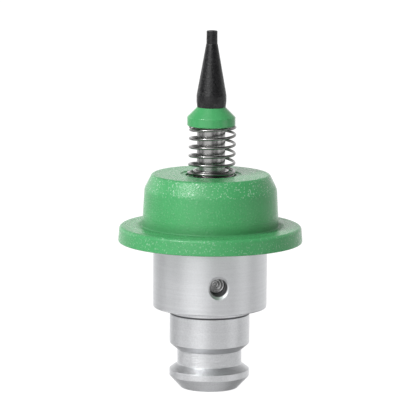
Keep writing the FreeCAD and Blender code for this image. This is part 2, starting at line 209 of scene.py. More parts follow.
class EdgeRounds(bpy.types.PropertyGroup):
    """Rounds of the edges"""
    keen: length("Keen edges", 0.01, "Edges that are left almost sharp")
    fine: length("Fine edges", 0.02, "Edges of groove, recess and countersinks")
    broken: length("Broken edges", 0.03, "Edges that are only broken")
    light: length("Light edges", 0.04, "Disc's step and recess, tip's base")
    eased: length("Eased edges", 0.05, "Nib's end face, end of the tip's cone, disc's bore")
    soft: length("Soft edges", 0.06, "Both ends of the neck, edge of the bush's nose")
    shank: length("Shank", 0.07, "Edges of the rim, and the shank's lower edge")
    end_face: length("End face", 0.10, "Edge of the end face")
    barrel: length("Barrel", 0.14, "Lower edge of the barrel")
    flange_low: length("Flange, low", 0.12, "Lower edges of the flange and the collar's rim")
    flange_high: length("Flange, high", 0.36, "Upper edge of the flange")
    boss_foot: length("Boss foot", 0.16, "Corner between flange and boss")
    shoulder: length("Shoulder", 1.20, "Round between wall and cone")
    boss_top: length("Boss top", 0.40, "Round between cone and top")
    collar_high: length("Collar, high", 0.20, "Upper edge of the collar's rim")
    belly_low: length("Belly, low", 0.50, "Bend below the tip's thickest part")
    belly_high: length("Belly, high", 1.20, "Bend above the tip's thickest part")


class Finishes(bpy.types.PropertyGroup):
    """Colours, polish and grain of the pieces"""
    aluminium: colour("Aluminium", (0.89, 0.90, 0.92), "Turned body")
    barrel_roughness: share("Barrel roughness", 0.43, "Polish of the body's barrel")
    shank_roughness: share("Shank roughness", 0.41, "Polish of the body's shank")
    end_roughness: share("End roughness", 0.46, "Polish of the end chamfer")
    cone_roughness: share("Cone roughness", 0.35, "Polish of the rim's cone")
    body_grain: length("Body grain", 0.004, "Depth of the body's turning lines")
    green: colour("Green", (0.084, 0.44, 0.156), "Moulded disc and collar")
    # Colour that the specks are painted towards, as painted glints
    painted_glint: colour("Glint", (0.60, 0.85, 0.66), "Bright specks in the mouldings")
    disc_roughness: share("Disc roughness", 0.24, "Polish of the disc")
    disc_grain: length("Disc grain", 0.048, "Depth of the disc's spark-eroded grain")
    disc_glints: share("Disc glints", 0.11, "How many specks the disc has")
    # How strongly the disc's specks are painted as painted glints
    disc_glow: share("Disc glow", 0.52, "How bright they are")
    collar_roughness: share("Collar roughness", 0.10, "Polish of the collar")
    collar_grain: length("Collar grain", 0.008, "Depth of the collar's grain")
    # How strongly the collar's specks are painted as painted glints
    collar_glow: share("Collar glow", 0.20, "How bright the collar's few specks are")
    speck_roughness: share("Speck roughness", 0.10, "Polish of the specks")
    black: colour("Black", (0.006, 0.006, 0.007), "Tip")
    black_roughness: share("Black roughness", 0.36, "Polish of the tip")
    black_grain: length("Black grain", 0.040, "Depth of the tip's mottled grain")
    steel: colour("Steel", (0.52, 0.515, 0.51), "Rod and bush")
    rod_roughness: share("Rod roughness", 0.25, "Polish of the rod")
    rod_grain: length("Rod grain", 0.004, "Depth of the rod's grain")
    bush_roughness: share("Bush roughness", 0.22, "Polish of the bush")
    bush_grain: length("Bush grain", 0.001, "Depth of the bush's grain")
    wire: colour("Wire", (0.31, 0.305, 0.30), "Spring")
    spring_roughness: share("Spring roughness", 0.19, "Polish of the spring")
    spring_grain: length("Spring grain", 0.0006, "Depth of the wire's grain")
    pin_tint: colour("Pin tint", (0.86, 0.86, 0.86), "Cross pin")
    pin_roughness: share("Pin roughness", 0.20, "Polish of the pin")
    pin_grain: length("Pin grain", 0.001, "Depth of the pin's grain")


class StageSettings(bpy.types.PropertyGroup):
    """Camera, lights and floor"""
    camera_turn: turn("Camera turn", -8.9, "Camera's place round the nozzle")
    camera_rise: turn("Camera rise", 9.72, "Camera's angle above the disc")
    camera_roll: turn("Camera roll", 0.49, "Nozzle's lean to the right in the picture")
    camera_distance: length("Camera distance", 400, "Distance from the disc's underside")
    aim_height: length("Aim height", 19.48, "Height on the axis at the picture's middle")
    aim_left: length("Aim left", 0.060, "Aim's distance from the axis")
    lens: FloatProperty(name="Lens", description="Focal length", default=315.9, min=1,
                        unit="CAMERA")
    fill: strength("Fill", 0.14, "Light from all sides")
    key: strength("Key", 0.96, "Soft light at the front left")
    top: strength("Top", 1.70, "Soft light overhead")
    low_right: strength("Low right", 1.19, "Light off the table at the right")
    low_left: strength("Low left", 1.22, "Light off the table at the left")
    back: strength("Back", 1.02, "Bright backdrop behind the nozzle")
    front: strength("Front", 0.75, "Pale wall at the front left")
    side: strength("Side", 0.98, "Pale wall at the right")
    left: strength("Left", 1.08, "Pale wall behind at the left")
    right: strength("Right", 0.63, "Pale wall behind at the right")
    below: strength("Below", 0.44, "Light off the table under the nozzle")
    spark: FloatProperty(name="Spark", description="Small soft box that draws glints",
                         default=0.46, min=0, unit="POWER")
    spark_size: length("Spark size", 80, "Width of that soft box")
    spark_turn: turn("Spark turn", -50, "Its place round from the camera")
    spark_rise: turn("Spark rise", 42, "Its angle above the horizon")
    spark_distance: length("Spark distance", 350, "Distance from the point that it faces")
    spark_aim: length("Spark aim", 20, "Height on the axis of the point that it faces")
    floor_tone: share("Floor tone", 0.15, "How pale the floor's own colour is")
    floor_glow: strength("Floor glow", 0.97, "Floor's own light, which keeps it white")


GROUPS = {
    "nozzle_body": BodySizes,
    "nozzle_disc": DiscSizes,
    "nozzle_plunger": PlungerSizes,
    "nozzle_tip": TipSizes,
    "nozzle_edges": EdgeRounds,
    "nozzle_finishes": Finishes,
    "nozzle_stage": StageSettings,
}


def groups(context, *names):
    """The scene's property groups of those names."""
    return [getattr(context.scene, "nozzle_" + name) for name in names]


# Node trees written as expressions

def math_pair(operation):
    """An operator that adds that Math node, and its reflected form."""
    return (lambda wire, other: wire.sheet.maths(operation, wire, other),
            lambda wire, other: wire.sheet.maths(operation, other, wire))


class Wire:
    """A node's output; each operator on it adds a Math node."""
    __add__, __radd__ = math_pair("ADD")
    __sub__, __rsub__ = math_pair("SUBTRACT")
    __mul__, __rmul__ = math_pair("MULTIPLY")
    __truediv__, __rtruediv__ = math_pair("DIVIDE")
    __pow__, __rpow__ = math_pair("POWER")

    def __init__(self, sheet, socket):
        self.sheet = sheet
        self.socket = socket

    def sibling(self, output):
        """Another output of the same node."""
        return Wire(self.sheet, self.socket.node.outputs[output])


class NodeSheet:
    """A node tree that is filled from Python."""

    def __init__(self, tree):
        self.tree = tree
        tree.nodes.clear()

    def add(self, kind, settings=None, inputs=None, output=0):
        """A node of that type with its settings set first, then its sockets. Returns one
        output, or the node itself if it has none."""
        node = self.tree.nodes.new(kind)
        for key, value in (settings or {}).items():
            setattr(node, key, value)
        for key, value in (inputs or {}).items():
            if isinstance(value, Wire):
                self.tree.links.new(value.socket, node.inputs[key])
            else:
                node.inputs[key].default_value = value
        return Wire(self, node.outputs[output]) if node.outputs else node

    def maths(self, operation, *values):
        return self.add("ShaderNodeMath", {"operation": operation}, dict(enumerate(values)))

    def mix_colour(self, factor, first, second):
        return self.add("ShaderNodeMix", {"data_type": "RGBA"},
                        {0: factor, 6: first, 7: second}, output=2)

    def smooth_range(self, value, low, high):
        """0 below low, 1 above high, and a smooth rise between them; the other way round if
        low is the higher one."""
        return self.add("ShaderNodeMapRange", {"interpolation_type": "SMOOTHSTEP"},
                        {"Value": value, "From Min": low, "From Max": high})

    def band(self, value, low, high, soft=0.04):
        """1 between low and high, 0 outside, with soft borders that wide each way."""
        return (self.smooth_range(value, low - soft, low + soft)
                * self.smooth_range(value, high + soft, high - soft))

    def object_position(self):
        """The place on the piece in millimetres."""
        place = self.add("ShaderNodeTexCoord", output="Object")
        return self.add("ShaderNodeVectorMath", {"operation": "SCALE"},
                        {0: place, "Scale": 1 / MM})

    def parts_of(self, vector):
        x = self.add("ShaderNodeSeparateXYZ", None, {0: vector})
        return x, x.sibling("Y"), x.sibling("Z")

    def vector(self, x, y, z):
        return self.add("ShaderNodeCombineXYZ", None, {0: x, 1: y, 2: z})

    def distance(self, across, along):
        return self.maths("SQRT", across * across + along * along)

    def noise(self, vector, scale=1.0, detail=2.0, roughness=0.5):
        """Noise about a half with that many grains to a unit of the vector."""
        return self.add("ShaderNodeTexNoise", None, {
            "Vector": vector, "Scale": scale, "Detail": detail, "Roughness": roughness})

    def bump(self, height, depth):
        return self.add("ShaderNodeBump", None, {"Distance": depth, "Height": height})

    def principled(self, inputs):
        shader = self.add("ShaderNodeBsdfPrincipled", None, inputs)
        self.add("ShaderNodeOutputMaterial", None, {"Surface": shader})


def swing(noise, amount):
    """How far noise about a half moves a value."""
    return (noise - 0.5) * amount


def new_material(name):
    material = bpy.data.materials.new(name)
    material.use_nodes = True
    return material, NodeSheet(material.node_tree)


def shaded(value, factor=1.0):
    """The colour, that much brighter, as a socket takes it."""
    return tuple(channel * factor for channel in value) + (1.0,)


def surface_of(finish, piece, *parts):
    """The finishes' values for that piece."""
    return [getattr(finish, f"{piece}_{part}") for part in parts]


# Finishes. Places, heights and distances in them are in millimetres

def turned_aluminium(name, finish, body):
    """Satin aluminium with the fine lines that a lathe leaves round the axis. They are deeper
    on the rim's cone and the neck. The groove and the cross hole are painted dark as painted
    shade. The end chamfer is duller than the shank, and both cones beside the neck are painted
    greyer as painted shade, the rim's more polished and the shank's duller."""
    material, sheet = new_material(name)
    sizes = {key: getattr(body, key) / MM for key in BodySizes.__annotations__}
    place = sheet.object_position()
    x, y, z = sheet.parts_of(place)
    radius = sheet.distance(x, y)
    lines = sheet.noise(sheet.vector(radius * 20.0, z * 20.0, 0.0), detail=3.0, roughness=0.6)
    patches = sheet.noise(sheet.vector(radius * 1.6, z * 4.0, 0.3), detail=3.0)
    streaks = sheet.noise(sheet.vector(x * 0.5, y * 0.5, z * 8.0), detail=3.0, roughness=0.6)
    grain = sheet.noise(place, 6.0, detail=3.0, roughness=0.6)

    seat, rim = sizes["seat_face"], sizes["rim_low"]
    barrel = sheet.smooth_range(z, seat - 0.02, seat + 0.02)
    end = sheet.smooth_range(z, rim + 0.04, rim - 0.04)
    rim_cone = sheet.band(z, sizes["rim_high"], sizes["neck_low"])
    shank_cone = sheet.band(z, sizes["neck_high"], sizes["shank_low"])
    ridged = sheet.band(z, sizes["rim_high"], sizes["neck_high"])

    # Painted shade: the fine groove is painted dark
    beside_groove = sheet.maths("ABSOLUTE", z - sizes["groove_height"])
    shank = sizes["shank_radius"]
    groove = (sheet.smooth_range(beside_groove, 0.16, 0.10)
              * sheet.smooth_range(radius, shank + 0.01, shank - 0.03))
    # Painted shade: the bore of the cross hole is painted dark
    hole = PIN_RADIUS / MM
    off_pin = sheet.distance(x, z - PIN_HEIGHT / MM)
    bore = sheet.smooth_range(off_pin, hole + 0.08, hole + 0.02) * barrel

    dark, light = shaded(finish.aluminium, 0.84), shaded(finish.aluminium, 1.04)
    painted_cone_shade, painted_hollow_shade = shaded(finish.aluminium, 0.55), shaded(finish.aluminium, 0.15)
    mottled = (0.5 + swing(streaks, 0.5) + swing(patches, 0.5)
               + swing(grain, 1.6 - barrel * 0.8))
    tone = sheet.mix_colour(mottled, dark, light)
    # Painted shade: both cones beside the neck are painted greyer, the downward-facing shank cone
    # more
    tone = sheet.mix_colour(shank_cone * 0.55 + rim_cone * 0.40, tone, painted_cone_shade)
    # Painted shade in the groove and the cross hole's bore
    tone = sheet.mix_colour(groove * 0.75 + bore * 0.80, tone, painted_hollow_shade)

    plain = finish.shank_roughness
    rough = (plain + barrel * (finish.barrel_roughness - plain)
             + end * (finish.end_roughness - plain)
             + (rim_cone - shank_cone * 0.5) * (finish.cone_roughness - plain)
             + swing(grain, 0.16) + swing(streaks, 0.12))
    relief = (lines * (1.0 + ridged * 2.5) + streaks * (0.12 + ridged * 12.0)
              + grain * (5.0 - barrel * 2.5))
    sheet.principled({
        "Base Color": tone, "Metallic": 1.0, "Roughness": rough,
        "Normal": sheet.bump(relief, finish.body_grain),
    })
    return material


def ground_steel(finish, piece, tint):
    """Bright steel with a fine grain round its axis, as smooth as that piece."""
    material, sheet = new_material(piece + "_steel")
    roughness, depth = surface_of(finish, piece, "roughness", "grain")
    place = sheet.object_position()
    x, y, z = sheet.parts_of(place)
    grain = sheet.noise(sheet.vector(x * 3.0, y * 3.0, z * 14.0), detail=4.0, roughness=0.7)
    spots = sheet.noise(place, 4.0, detail=3.0, roughness=0.6)
    dark, light = shaded(tint, 0.72), shaded(tint, 1.12)
    sheet.principled({
        "Base Color": sheet.mix_colour(grain * 0.6 + spots * 0.4, dark, light),
        "Metallic": 1.0,
        "Roughness": roughness + swing(spots, 0.12) + swing(grain, 0.08),
        "Normal": sheet.bump(grain, depth),
    })
    return material


def moulded_green(name, finish, piece, corner, upper, top, glints=0.0):
    """Green moulded plastic with a spark-eroded grain, as smooth as that piece. Its specks are
    more polished, and their colour is lightened as painted glints. Glints adds specks to the
    few that it always has. The painted glints are brightest from the upper height to just below
    the top, and fairly bright well outside the corner. That inner corner, which is given by its
    radius and height, is painted darker as painted shade, and is rougher."""
    material, sheet = new_material(name)
    polish, depth, glow = surface_of(finish, piece, "roughness", "grain", "glow")
    place = sheet.object_position()
    x, y, z = sheet.parts_of(place)
    cloud = sheet.noise(place, 0.35, detail=3.0)
    grain = sheet.noise(place, 4.5, detail=3.0, roughness=0.6)
    # Shifted, so that the specks don't follow the grain
    shifted = sheet.add("ShaderNodeVectorMath", {"operation": "ADD"},
                        {0: place, 1: (7.3, 1.9, 4.1)})
    spots = sheet.noise(shifted, 5.5, detail=1.0)

    across, above = sheet.distance(x, y) - corner[0] / MM, z - corner[1] / MM
    # Where the painted glints are brightest: the shoulder below the flat top, and well outside the
    # corner
    shoulder = sheet.smooth_range(z, upper / MM - 0.4, upper / MM + 0.2)
    flat = sheet.smooth_range(z, top / MM - 0.15, top / MM - 0.02)
    outside = sheet.smooth_range(across, 1.4, 2.4)
    painted_glint_zone = sheet.maths("MAXIMUM", shoulder * (1.0 - flat * 0.6), outside * 0.4)
    # Specks: more polished, and painted lighter as painted glints
    specks = sheet.smooth_range(spots, 0.72 - glints, 0.78 - glints)
    # Painted shade: how near a place is to the inner corner
    away = sheet.maths("SQRT", across * across * 2.6 + above * above)
    painted_corner_shade = sheet.smooth_range(away, 1.4, 0.1)

    dark, light = shaded(finish.green, 0.78), shaded(finish.green, 1.20)
    tone = sheet.mix_colour(cloud * 0.6 + grain * 0.4, dark, light)
    # Painted glints: the specks are lightened towards the glint colour
    tone = sheet.mix_colour(specks * glow * (0.22 + painted_glint_zone * 0.78), tone, shaded(finish.painted_glint))
    # Painted shade in the inner corner
    tone = sheet.mix_colour(painted_corner_shade * 0.45, tone, shaded(finish.green, 0.45))
    rough = polish + swing(cloud, 0.10) + painted_corner_shade * 0.25
    sheet.principled({
        "Base Color": tone, "IOR": 1.5,
        "Roughness": rough - specks * (rough - finish.speck_roughness),
        "Normal": sheet.bump(grain + spots * 0.6, depth),
    })
    return material


def satin_black(name, finish):
    """Black tip with a fine mottled sheen."""
    material, sheet = new_material(name)
    place = sheet.object_position()
    grain = sheet.noise(place, 4.0, roughness=0.65)
    cloud = sheet.noise(place, 0.8)
    dark, light = shaded(finish.black, 0.7), shaded(finish.black, 1.5)
    sheet.principled({
        "Base Color": sheet.mix_colour(grain * 0.5 + cloud * 0.5, dark, light), "IOR": 1.55,
        "Roughness": finish.black_roughness + swing(grain, 0.8),
        "Normal": sheet.bump(grain, finish.black_grain),
    })
    return material


# Meshes

def rounded_outline(corners, closed=True):
    """Points of an outline of (radius, height, round) whose corners become arcs. A guard point
    each side of an arc keeps the shading of the straight runs true."""
    points = []
    count = len(corners)
    for i, (radius, height, bend) in enumerate(corners):
        here = Vector((radius, height))
        if bend == 0 or (not closed and i in (0, count - 1)):
            points.append(here)
            continue
        before = Vector(corners[i - 1][:2]) - here
        after = Vector(corners[(i + 1) % count][:2]) - here
        opening = before.angle(after)
        reach = min(bend / math.tan(opening / 2), ROUND_SHARE * min(before.length, after.length))
        bend = reach * math.tan(opening / 2)
        middle = here + (before.normalized() + after.normalized()).normalized() * (
            bend / math.sin(opening / 2))
        start = here + before.normalized() * reach
        end = here + after.normalized() * reach
        steps = max(2, math.ceil(math.degrees(math.pi - opening) / ROUND_DEGREES))
        sweep = (start - middle).angle_signed(end - middle)
        guards = [run.normalized() * min(GUARD_SHARES[0] * bend, GUARD_SHARES[1] * run.length)
                  for run in (before, after)]
        points.append(start + guards[0])
        for step in range(steps + 1):
            spoke = start - middle
            spoke.rotate(Matrix.Rotation(-sweep * step / steps, 2))
            points.append(middle + spoke)
        points.append(end + guards[1])
    return points


def turned_mesh(name, outline, steps, closed=True):
    """A mesh of the outline turned about Z; an open outline starts and ends on the axis."""
    corners, rows = [], []
    for radius, height in outline:
        if radius < ON_AXIS:
            rows.append([len(corners)] * steps)
            corners.append((0, 0, height))
            continue
        rows.append(list(range(len(corners), len(corners) + steps)))
        for step in range(steps):
            angle = 2 * math.pi * step / steps
            corners.append((radius * math.cos(angle), radius * math.sin(angle), height))
    pairs = list(zip(rows, rows[1:]))
    if closed:
        pairs.append((rows[-1], rows[0]))
    faces = []
    for low, high in pairs:
        for step in range(steps):
            side = (step + 1) % steps
            faces.append(list(dict.fromkeys([low[step], low[side], high[side], high[step]])))
    return outward_mesh(name, corners, faces)


def prism_mesh(name, outline, half_depth):
    """A mesh of the outline in the XZ plane, as deep as that each way along Y."""
    count = len(outline)
    corners = [(x, y, z) for y in (-half_depth, half_depth) for x, z in outline]
    faces = [list(range(count)), list(range(count, 2 * count))]
    for i in range(count):
        j = (i + 1) % count
        faces.append([i, j, count + j, count + i])
    return outward_mesh(name, corners, faces)


def outward_mesh(name, corners, faces):
    mesh = bpy.data.meshes.new(name)
    mesh.from_pydata(corners, [], faces)
    return outward(mesh)


def outward(mesh):
    """The same closed mesh with its faces turned outwards and smooth but for its sharp edges."""
    work = bmesh.new()
    work.from_mesh(mesh)
    bmesh.ops.remove_doubles(work, verts=work.verts, dist=SAME_POINT)
    bmesh.ops.recalc_face_normals(work, faces=work.faces)
    for face in work.faces:
        face.smooth = True
    work.to_mesh(mesh)
    work.free()
    mesh.set_sharp_from_angle(angle=math.radians(SHARP_DEGREES))
    return mesh


def lay_across(mesh):
    """Lays a mesh turned about Z along the cross pin's axis."""
    mesh.transform(Matrix.Translation((0, 0, PIN_HEIGHT)) @ Matrix.Rotation(math.pi / 2, 4, "X"))
    return mesh


def new_object(name, content):
    piece = bpy.data.objects.new(name, content)
    bpy.context.scene.collection.objects.link(piece)
    return piece


def settled_mesh(piece):
    """A plain mesh of the piece with its modifiers worked in; the piece itself goes."""
    bpy.context.view_layer.update()
    source = piece.evaluated_get(bpy.context.evaluated_depsgraph_get())
    mesh = bpy.data.meshes.new_from_object(source)
    bpy.data.objects.remove(piece)
    return mesh


def cut_by(name, mesh, cutter_mesh):
    """The mesh with the cutter's space taken out."""
    piece = new_object(name, mesh)
    cutter = new_object(name + "_cutter", cutter_mesh)
    cut = piece.modifiers.new("cut", "BOOLEAN")
    cut.operation = "DIFFERENCE"
    cut.solver = "EXACT"
    cut.object = cutter
    result = settled_mesh(piece)
    bpy.data.objects.remove(cutter)
    return outward(result)


def place_piece(name, mesh, material, body, node):
    """An object that rides on a body and stands for a node of the frame."""
    mesh.materials.clear()
    mesh.materials.append(material)
    piece = new_object(name, mesh)
    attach(piece, body)
    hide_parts(node)
    return piece


# Operators

class NOZZLE_OT_body(bpy.types.Operator):
    """Turn the aluminium body with its cross hole"""
    bl_idname = "nozzle.body"
    bl_label = "Turned body"

    def execute(self, context):
        s, edge, finishes = groups(context, "body", "edges", "finishes")
        barrel_radius, spigot_top = BODY_HIGH[0], BODY_HIGH[2]
        flange_low = DISC_LOW[2]
        groove_low = s.groove_height - s.groove_width / 2
        groove_high = s.groove_height + s.groove_width / 2
        turned = turned_mesh("turned_body", rounded_outline([
            (s.port_radius + s.port_chamfer, 0, edge.broken),
            (s.end_radius, 0, edge.end_face),
            (s.shank_radius, s.rim_low, edge.shank),
            (s.shank_radius, s.rim_high, edge.shank),
            (s.neck_radius, s.neck_low, edge.soft),
            (s.neck_radius, s.neck_high, edge.soft),
            (s.shank_radius, s.shank_low, edge.shank),
            (s.shank_radius, groove_low, edge.fine),
            (s.shank_radius - s.groove_depth, s.groove_height, edge.keen),
            (s.shank_radius, groove_high, edge.fine),
            (s.shank_radius, s.seat_face, edge.broken),
            (barrel_radius, s.seat_face, edge.barrel),
            (barrel_radius, flange_low, edge.broken),
            (s.spigot_radius, flange_low, 0),
            (s.spigot_radius, spigot_top, 0),
            (s.chamber_radius, spigot_top, 0),
            (s.chamber_radius, s.chamber_floor, 0),
            (s.port_radius, s.chamber_floor, 0),
            (s.port_radius, s.port_chamfer, 0),
        ]), WIDE_SIDES)
        hole_radius = PIN_RADIUS + s.hole_gap
        reach = barrel_radius + OVERRUN
        mouth_start = barrel_radius - s.mouth_depth
        mouth_end = hole_radius + (reach - mouth_start) * s.mouth_width / s.mouth_depth
        cutter = turned_mesh("hole_cutter", [
            (0, -reach), (mouth_end, -reach), (hole_radius, -mouth_start),
            (hole_radius, mouth_start), (mouth_end, reach), (0, reach),
        ], PIN_SIDES, closed=False)
        mesh = cut_by("turned_body", turned, lay_across(cutter))
        finish = turned_aluminium("turned_aluminium", finishes, s)
        place_piece("turned_body", mesh, finish, "body", "nozzle_body")
        return {"FINISHED"}


class NOZZLE_OT_pin(bpy.types.Operator):
    """Turn the cross pin with a ridged centre hole in each end"""
    bl_idname = "nozzle.pin"
    bl_label = "Cross pin"

    def execute(self, context):
        s, edge, finishes = groups(context, "body", "edges", "finishes")
        rim = rounded_outline([
            (s.centre_radius, PIN_HALF, 0),
            (PIN_RADIUS - s.pin_bevel, PIN_HALF, edge.keen),
            (PIN_RADIUS, PIN_HALF - s.pin_bevel, edge.fine),
            (PIN_RADIUS, 0, 0),
        ], closed=False)
        upper = self.centre_hole(s) + [tuple(point) for point in rim]
        lower = [(radius, -height) for radius, height in reversed(upper[:-1])]
        mesh = lay_across(turned_mesh("steel_pin", upper + lower, PIN_SIDES, closed=False))
        finish = ground_steel(finishes, "pin", finishes.pin_tint)
        place_piece("steel_pin", mesh, finish, "body", "cross_pin")
        return {"FINISHED"}

    def centre_hole(self, s):
        """Points of the hole's cone from the axis to its rim. Its ridges fade out towards the
        axis."""
        count = 60
        points = []
        for i in range(count):
            out = i / count
            drop = s.centre_depth * (1 - out)
            ridge = s.ridge_height * math.sin(2 * math.pi * drop / s.ridge_pitch) * min(1, 4 * out)
            points.append((s.centre_radius * out, PIN_HALF - drop + ridge))
        return points


class NOZZLE_OT_disc(bpy.types.Operator):
    """Mould the green disc"""
    bl_idname = "nozzle.disc"
    bl_label = "Moulded disc"

    def execute(self, context):
        s, body, edge, finishes = groups(context, "disc", "body", "edges", "finishes")
        spigot_top = BODY_HIGH[2]
        low, top = DISC_LOW[2], DISC_HIGH[2]
        flange = DISC_HIGH[0]
        wall_radius = s.boss_radius - s.wall_draft
        throat = s.nose_radius + s.nose_gap
        seat = top - s.seat_depth
        step = top - s.step_depth
        mesh = turned_mesh("green_disc", rounded_outline([
            (body.spigot_radius, low, edge.eased),
            (flange, low, edge.flange_low),
            (flange - s.flange_draft, s.flange_top, edge.flange_high),
            (s.boss_radius, s.flange_top, edge.boss_foot),
            (wall_radius, s.wall_top, edge.shoulder),
            (wall_radius - s.shoulder_inset, top, edge.boss_top),
            (s.step_radius, top, edge.light),
            (s.step_radius - s.step_draft, step, edge.broken),
            (s.seat_radius, step, edge.light),
            (s.seat_radius, seat, edge.fine),
            (throat, seat, edge.broken),
            (throat, spigot_top, 0),
            (body.spigot_radius, spigot_top, 0),
        ]), WIDE_SIDES)
        finish = moulded_green("moulded_green", finishes, "disc", (s.boss_radius, s.flange_top),
                               s.wall_top, top, finishes.disc_glints)
        place_piece("green_disc", mesh, finish, "body", "diffuser_disc")
        return {"FINISHED"}


class NOZZLE_OT_bush(bpy.types.Operator):
    """Turn the guide bush"""
    bl_idname = "nozzle.bush"
    bl_label = "Guide bush"

    def execute(self, context):
        s, edge, finishes = groups(context, "disc", "edges", "finishes")
        body, plunger = groups(context, "body", "plunger")
        bore = plunger.rod_radius + plunger.running_gap
        low, shoulder, high = BUSH_LOW[2], BODY_HIGH[2], BUSH_HIGH[2]
        mesh = turned_mesh("nose_bush", rounded_outline([
            (bore, low, 0),
            (body.chamber_radius, low, 0),
            (body.chamber_radius, shoulder, 0),
            (s.nose_radius, shoulder, 0),
            (s.nose_radius, high, edge.soft),
            (bore + s.nose_mouth, high, edge.fine),
            (bore, high - s.nose_mouth, edge.fine),
        ]), ROD_SIDES)
        finish = ground_steel(finishes, "bush", finishes.steel)
        place_piece("nose_bush", mesh, finish, "body", "guide_bush")
        return {"FINISHED"}


class NOZZLE_OT_rod(bpy.types.Operator):
    """Turn the plunger's rod and slot its foot"""
    bl_idname = "nozzle.rod"
    bl_label = "Plunger rod"

    def execute(self, context):
        s, finishes = groups(context, "plunger", "finishes")
        foot = ROD_HIGH[0]
        low, top = ROD_LOW[2], ROD_HIGH[2]
        shoulder = COLLAR_LOW[2]
        turned = turned_mesh("plunger_rod", [
            (s.foot_bore, low),
            (foot - s.foot_bevel, low),
            (foot, low + s.foot_bevel),
            (foot, s.foot_high - s.foot_bevel),
            (foot - s.foot_bevel, s.foot_high),
            (s.rod_radius, s.foot_high),
            (s.rod_radius, shoulder),
            (s.stem_radius, shoulder),
            (s.stem_radius, top),
            (s.stem_bore, top),
            (s.stem_bore, shoulder - s.stem_root),
            (s.airway_radius, shoulder - s.stem_root),
            (s.airway_radius, s.foot_high - s.foot_roof),
            (s.foot_bore, s.foot_high - s.foot_roof),
        ], ROD_SIDES)
        cutter = prism_mesh("slot_cutter", self.slot_outline(PIN_RADIUS + s.slot_gap),
                            foot + OVERRUN)
        mesh = cut_by("plunger_rod", turned, cutter)
        finish = ground_steel(finishes, "rod", finishes.steel)
        place_piece("plunger_rod", mesh, finish, "plunger", "plunger_tube")
        return {"FINISHED"}

    def slot_outline(self, half_width):
        """A slot with round ends that passes the pin along the whole stroke."""
        steps = 24
        points = []
        for middle, start in ((PIN_HEIGHT + STROKE, 0), (PIN_HEIGHT, math.pi)):
            for i in range(steps + 1):
                angle = start + math.pi * i / steps
                points.append((half_width * math.cos(angle),
                               middle + half_width * math.sin(angle)))
        return points


def coil_tree(name, sizes, material):
    """Geometry nodes that wind a spring with one closed turn at each end. On its open turns it
    hangs lower on one side, less so towards the top, and drifts to the side."""
    points_per_turn, wire_sides = 72.0, 20
    ease = 0.03 * MM
    sag_peak, sag_fade, drift_curve = 1.6, 1.5, 0.35
    tree = bpy.data.node_groups.new(name, "GeometryNodeTree")
    tree.interface.new_socket("Geometry", in_out="OUTPUT", socket_type="NodeSocketGeometry")
    for label in sizes:
        tree.interface.new_socket(label, in_out="INPUT", socket_type="NodeSocketFloat")
    sheet = NodeSheet(tree)
    entry = sheet.add("NodeGroupInput")
    given = {label: entry.sibling(label) for label in sizes}
    line = sheet.add("GeometryNodeCurvePrimitiveLine")
    points = sheet.add("GeometryNodeResampleCurve", None,
                       {"Curve": line, "Count": given["Turns"] * points_per_turn + 1.0})

    turns = sheet.add("GeometryNodeSplineParameter") * given["Turns"]
    closed = given["Foot"] + turns * given["End Pitch"]
    opened = given["Foot"] + given["End Pitch"] + (turns - 1.0) * given["Open Pitch"]
    rise = sheet.maths("SMOOTH_MAX", closed, opened, ease)
    rise = sheet.maths("SMOOTH_MIN", rise, given["Head"], ease)
    climbed = (turns - 1.0) / (given["Turns"] - 2.0)
    climbed = sheet.maths("MINIMUM", sheet.maths("MAXIMUM", climbed, 0.0), 1.0)

    angle = turns * (2 * math.pi) + math.pi
    side = sheet.maths("COSINE", angle) * 0.5 + 0.5
    started = sheet.maths("GREATER_THAN", turns, 1.0)
    sag = given["Lean"] * side ** sag_peak * started * (1.0 - climbed ** sag_fade)
    bearing = given["Bearing"]
    drift = (given["Low Drift"]
             + (given["High Drift"] - given["Low Drift"]) * climbed ** drift_curve)
    heading = angle + bearing
    x, y = (given["Coil Radius"] * sheet.maths(part, heading) + drift * sheet.maths(part, bearing)
            for part in ("COSINE", "SINE"))

    path = sheet.add("GeometryNodeSetPosition", None,
                     {"Geometry": points, "Position": sheet.vector(x, y, rise - sag)})
    section = sheet.add("GeometryNodeCurvePrimitiveCircle", None,
                        {"Resolution": wire_sides, "Radius": given["Wire Radius"]})
    wire = sheet.add("GeometryNodeCurveToMesh", None,
                     {"Curve": path, "Profile Curve": section, "Fill Caps": True})
    plain = sheet.add("GeometryNodeRealizeInstances", None, {"Geometry": wire})
    made = sheet.add("GeometryNodeSetMaterial", None, {"Geometry": plain, "Material": material})
    sheet.add("NodeGroupOutput", None, {"Geometry": made})
    return tree


class NOZZLE_OT_spring(bpy.types.Operator):
    """Wind the spring, which leans a little as it sits"""
    bl_idname = "nozzle.spring"
    bl_label = "Spring"

    def execute(self, context):
        s, disc, stage, finishes = groups(context, "plunger", "disc", "stage", "finishes")
        finish = ground_steel(finishes, "spring", finishes.wire)
        seat = DISC_HIGH[2] - disc.seat_depth
        sizes = {
            "Coil Radius": s.coil_radius,
            "Wire Radius": s.wire_radius,
            "Foot": seat + s.wire_radius,
            "Head": COLLAR_LOW[2] - s.wire_radius,
            "End Pitch": s.end_pitch,
            "Open Pitch": s.open_pitch,
            "Turns": float(s.turns),
            "Bearing": stage.camera_turn,
            "Lean": s.lean,
            "Low Drift": s.drift_low,
            "High Drift": s.drift_high,
        }
        tree = coil_tree("coil", sizes, finish)
        piece = new_object("coil_spring", bpy.data.meshes.new("coil_spring"))
        winding = piece.modifiers.new("winding", "NODES")
        winding.node_group = tree
        for item in tree.interface.items_tree:
            if item.in_out == "INPUT":
                winding[item.identifier] = sizes[item.name]
        mesh = outward(settled_mesh(piece))
        if len(mesh.polygons) == 0:
            raise RuntimeError("the spring's tree made no faces")
        spring = place_piece("coil_spring", mesh, finish, "body", "spring")
        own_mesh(spring)
        return {"FINISHED"}


